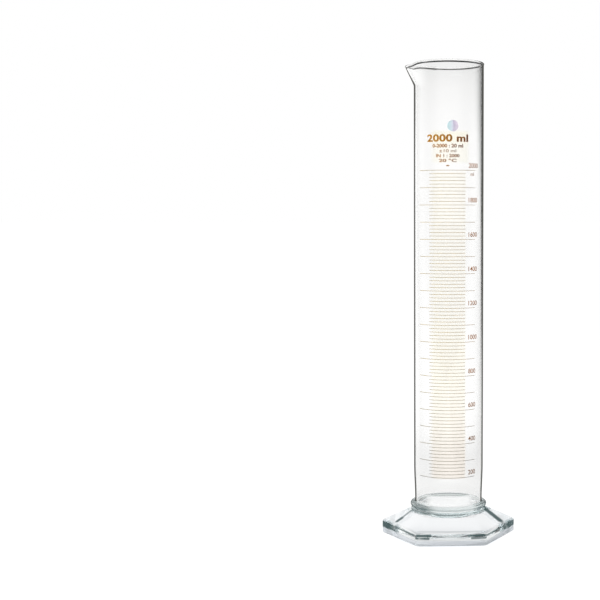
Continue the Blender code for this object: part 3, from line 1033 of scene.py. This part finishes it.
def make_text(name, text, figure_h, degrees, z, material,
              centred=True, spacing=1.0, weight=0.0, width=None):
    """Lettering laid onto the tube with its foot line at z, stretched to a width if given."""
    curve, holder = text_curve(name, text)
    curve.space_character = spacing
    curve.offset = weight
    curve.resolution_u = 4
    curve.extrude = 0.5
    bpy.context.view_layer.update()
    depsgraph = bpy.context.evaluated_depsgraph_get()
    mesh = bpy.data.meshes.new_from_object(holder.evaluated_get(depsgraph), depsgraph=depsgraph)
    remove_text(curve, holder)
    solid = bmesh.new()
    solid.from_mesh(mesh)
    bmesh.ops.remove_doubles(solid, verts=solid.verts[:], dist=1e-5)
    left = min(vert.co.x for vert in solid.verts)
    right = max(vert.co.x for vert in solid.verts)
    anchor = (left + right) / 2 if centred else left
    scale = figure_h / FIGURE_H
    scale_x = scale if width is None else width / (right - left)
    for vert in solid.verts:
        x, y, depth = vert.co
        angle = SCALE_MIDDLE + math.radians(degrees) + (x - anchor) * scale_x / TUBE_R
        vert.co = Vector(on_tube(PRINT_T * (depth + 0.5), angle, z + y * scale))
    mesh.name = name
    mesh.materials.clear()
    print_object(name, solid, mesh, material)


def make_print():
    step = (LAST_LINE - FIRST_LINE) / 18            # height of 100 ml
    for volume, z in sorted(LINE_Z.items()):
        make_bars(
            f"graduation_line_{volume:04d}", LONG_LINE, [z], LINE_PRINT,
            stands_for=f"graduation_{volume:04d}",
        )
    for volume in range(200, 2000, 100):
        heights = [LINE_Z[volume] + step * i / 5 for i in range(1, 5)]
        name = f"minor_lines_{volume:04d}_{volume + 100:04d}"
        make_bars(name, SHORT_LINE, heights, LINE_PRINT)
    for volume in range(200, 2001, 200):
        make_text(
            f"numeral_{volume:04d}", str(volume), figure_h=5.4 * MM, degrees=37.6,
            z=LINE_Z[volume] + 3.1 * MM, material=NUMBER_PRINT,
            centred=False, spacing=0.98, weight=0.012,
        )
    make_text(
        "unit_ml", "ml", figure_h=4.2 * MM, degrees=45.0, z=LAST_LINE - 6.4 * MM,
        material=NUMBER_PRINT, weight=0.01,
    )
    for name, text, figure_h, degrees, rise, spacing, weight, width in HEADINGS:
        make_text(
            "heading_" + name, text, figure_h * MM, degrees, LAST_LINE + rise * MM,
            HEADING_PRINT, spacing=spacing, weight=weight, width=width * MM,
        )
    dash_span = (HEADING_ANGLE - 2.6, HEADING_ANGLE + 2.6)
    make_bars("heading_dash", dash_span, [LAST_LINE + 5.4 * MM], NUMBER_PRINT, width=1.5 * MM)


def make_spot():
    """The round spot: a thin disc with a raised rim, laid onto the tube."""
    middle_z = (spot_lo.z + spot_hi.z) / 2
    middle_angle = math.atan2((spot_lo.y + spot_hi.y) / 2, SPOT_X)
    spot_r = (spot_hi.z - spot_lo.z) / 2
    solid = bmesh.new()
    layers = []
    for radius_share, thickness in SPOT_PROFILE:
        layer = []
        for j in range(SPOT_COLUMNS if radius_share > 0 else 1):
            turn = 2 * math.pi * j / SPOT_COLUMNS
            x = spot_r * radius_share * math.cos(turn)
            y = spot_r * radius_share * math.sin(turn)
            point = on_tube(PRINT_T * thickness, middle_angle + x / TUBE_R, middle_z + y)
            layer.append(solid.verts.new(point))
        layers.append(layer)
    for near, far in zip(layers, layers[1:]):
        for i in range(SPOT_COLUMNS):
            j = (i + 1) % SPOT_COLUMNS
            quad = [near[i % len(near)], near[j % len(near)], far[j % len(far)], far[i % len(far)]]
            solid.faces.new(without_repeats(quad))
    print_object(
        "round_spot", solid, bpy.data.meshes.new("round_spot"), spot_material(),
        stands_for="round_mark",
    )


make_tube()
make_collar()
make_foot()
make_print()
make_spot()


# ---------------------------------------------------------------- studio
CAMERA_HEIGHT = 0.3846
CAMERA_DISTANCE = 1.474             # from the axis
CAMERA_PITCH = math.radians(-3.873)
# depth of the foot of the axis along the camera's view
AXIS_DEPTH = CAMERA_DISTANCE * math.cos(CAMERA_PITCH) - CAMERA_HEIGHT * math.sin(CAMERA_PITCH)

SWEEP_LIMIT = 31.0                  # degrees above and below the camera's axis
SWEEP_FULL = 1.25                   # brightest level
# degrees above the camera's axis, level
SWEEP_LEVELS = (
    (-30, 1.25), (-17, 1.22), (-13.5, 1.0), (-12, 0.91), (-8.8, 0.90), (-7.2, 0.915),
    (-6.2, 1.05), (-5, 1.11), (5.5, 1.13), (7.5, 1.12), (8.8, 1.09), (9.9, 1.04),
    (10.5, 0.98), (11.4, 0.88), (13.5, 1.0), (17, 1.22), (30, 1.25),
)


def sweep_level(nodes, x, y, z):
    """Brightness of the white sweep behind the object as the glass sees it, and the angle across.

    The sweep fills the view and reaches on round the left; on the right the studio is dark. Its
    level changes with height. x, y, z are the sideways, upward and forward parts of a direction
    or a place as the camera sees it."""
    across = nodes.math("DEGREES", nodes.math("ARCTAN2", x, z))
    rise = nodes.math("DEGREES", nodes.math("ARCTAN2", y, nodes.length(x, z)))
    tall = nodes.math("ABSOLUTE", rise)
    shift = nodes.map(tall, over=(3.0, 10.0), to=(0.0, 8.0))
    right = nodes.fall(nodes.math("ADD", across, shift), over=(10.0, 27.0))
    left = nodes.map(across, over=(-112.0, -70.0), to=(0.10, 1.0))
    span = 2 * SWEEP_LIMIT
    height = nodes.math("DIVIDE", nodes.math("ADD", rise, SWEEP_LIMIT), span)
    level = nodes.ramp(height, [
        ((degrees + SWEEP_LIMIT) / span, (level / SWEEP_FULL,) * 3)
        for degrees, level in SWEEP_LEVELS
    ])
    return nodes.product(level, SWEEP_FULL, nodes.product(left, right)), across


def make_world():
    """White for the camera; for the glass the sweep, a dim room behind and a greyer ceiling."""
    world = bpy.data.worlds.new("studio")
    scene.world = world
    nodes = Nodes(world)
    place = nodes.node("TexCoord").outputs
    level, across = sweep_level(nodes, *nodes.split(place["Camera"]))
    _, _, up = nodes.split(place["Generated"])
    from_view = nodes.math("ABSOLUTE", across)
    behind = nodes.map(from_view, over=(115.0, 160.0), to=(0.0, 0.30))
    level = nodes.math("MAXIMUM", level, nodes.math("ADD", 0.05, behind))
    ceiling = nodes.map(up, over=(0.34, 0.62), to=(1.0, 0.80))
    strength = nodes.full_for_camera(nodes.product(level, ceiling))
    background = nodes.add("Background", Color=(1, 1, 1, 1), Strength=strength)
    nodes.node("OutputWorld", Surface=background)


def floor_material():
    """A glowing floor that continues the sweep, shaded under the foot."""
    material = new_material("floor")
    nodes = Nodes(material)
    place = nodes.node("TexCoord").outputs
    view_x, view_y, view_z = nodes.split(place["Camera"])
    level, _ = sweep_level(nodes, view_x, view_y, view_z)
    # under the hollow foot, on the side turned to the camera, the bench is in shade
    x, y, _ = nodes.split(place["Object"])
    from_axis = nodes.length(x, y)
    nearer = nodes.math("SUBTRACT", AXIS_DEPTH, view_z)
    shade = nodes.map(nearer, over=(0.010, 0.046), to=(1.0, 0.60))
    shade = nodes.math("MAXIMUM", shade, nodes.rise(from_axis, over=(0.066, 0.082)))
    darkest, overall = 0.08, 0.97
    level = nodes.product(nodes.math("MAXIMUM", level, darkest), shade, overall)
    tone = nodes.ramp(shade, [(0.6, (0.95, 0.975, 1.0)), (0.9, (1.0, 1.0, 1.0))])
    glow = nodes.add("Emission", Color=tone, Strength=nodes.full_for_camera(level))
    matt = nodes.add("BsdfDiffuse", Color=(0.05, 0.05, 0.05, 1))
    nodes.node("OutputMaterial", Surface=nodes.add("AddShader", i0=glow, i1=matt))
    return material


def card_material():
    material = new_material("black_card")
    nodes = Nodes(material)
    nodes.node("OutputMaterial", Surface=nodes.emission((0.02, 0.02, 0.02)))
    return material


def stage_piece(name, solid, material, z):
    mesh = bpy.data.meshes.new(name)
    solid.to_mesh(mesh)
    solid.free()
    mesh.materials.append(material)
    piece = bpy.data.objects.new(name, mesh)
    scene.collection.objects.link(piece)
    piece.location.z = z
    return piece


def make_floor():
    solid = bmesh.new()
    bmesh.ops.create_grid(solid, x_segments=4, y_segments=4, size=90.0)
    stage_piece("floor", solid, floor_material(), z=-0.0004)


def make_card():
    """A black card above the rim, seen only in and through the glass: the rim's dark line."""
    solid = bmesh.new()
    bmesh.ops.create_circle(solid, cap_ends=True, segments=64, radius=0.24)
    card = stage_piece("black_card", solid, card_material(), z=TOP + 0.05)
    card.visible_camera = False
    card.visible_diffuse = False
    card.visible_shadow = False


def area_light(name, location, target, size, power):
    """A rectangular light that the glass neither mirrors nor shows."""
    light = bpy.data.lights.new(name, "AREA")
    light.shape = "RECTANGLE"
    light.size, light.size_y = size
    light.energy = power
    lamp = bpy.data.objects.new(name, light)
    scene.collection.objects.link(lamp)
    lamp.location = location
    aim = Vector(target) - Vector(location)
    lamp.rotation_euler = aim.to_track_quat("-Z", "Y").to_euler()
    lamp.visible_glossy = False
    lamp.visible_transmission = False


def make_camera():
    camera_data = bpy.data.cameras.new("camera")
    camera = bpy.data.objects.new("camera", camera_data)
    scene.collection.objects.link(camera)
    camera_data.sensor_width = 36.0
    camera_data.lens = 72.996
    camera_data.shift_x = -0.2549167
    camera_data.clip_start = 0.05
    camera_data.clip_end = 400.0
    place_angle = math.radians(-93.0)
    camera.location = (
        CAMERA_DISTANCE * math.cos(place_angle),
        CAMERA_DISTANCE * math.sin(place_angle),
        CAMERA_HEIGHT,
    )
    heading = math.radians(90.0 - 0.206 - 3.0)      # 0.206 degrees to the right of the axis
    roll = Quaternion((0, 0, 1), math.radians(0.073))
    look = Vector((
        math.cos(heading) * math.cos(CAMERA_PITCH),
        math.sin(heading) * math.cos(CAMERA_PITCH),
        math.sin(CAMERA_PITCH),
    ))
    camera.rotation_euler = (look.to_track_quat("-Z", "Y") @ roll).to_euler()
    scene.camera = camera


make_world()
make_floor()
make_card()
area_light("overhead", location=(0.0, -0.2, 2.2), target=(0, 0, 0), size=(2.4, 2.4), power=62.0)
area_light(
    "front_left", location=(-1.4, -1.9, 1.2), target=(0, 0, 0.3), size=(1.0, 1.2), power=26.0
)
make_camera()

scene.view_settings.view_transform = "Standard"
scene.view_settings.look = "None"
# the Cycles settings exist only where that render engine is loaded
if hasattr(scene, "cycles"):
    scene.cycles.max_bounces = 24
    scene.cycles.transmission_bounces = 24
    scene.cycles.glossy_bounces = 16
    scene.cycles.transparent_max_bounces = 24
    scene.cycles.caustics_reflective = False
    scene.cycles.caustics_refractive = False
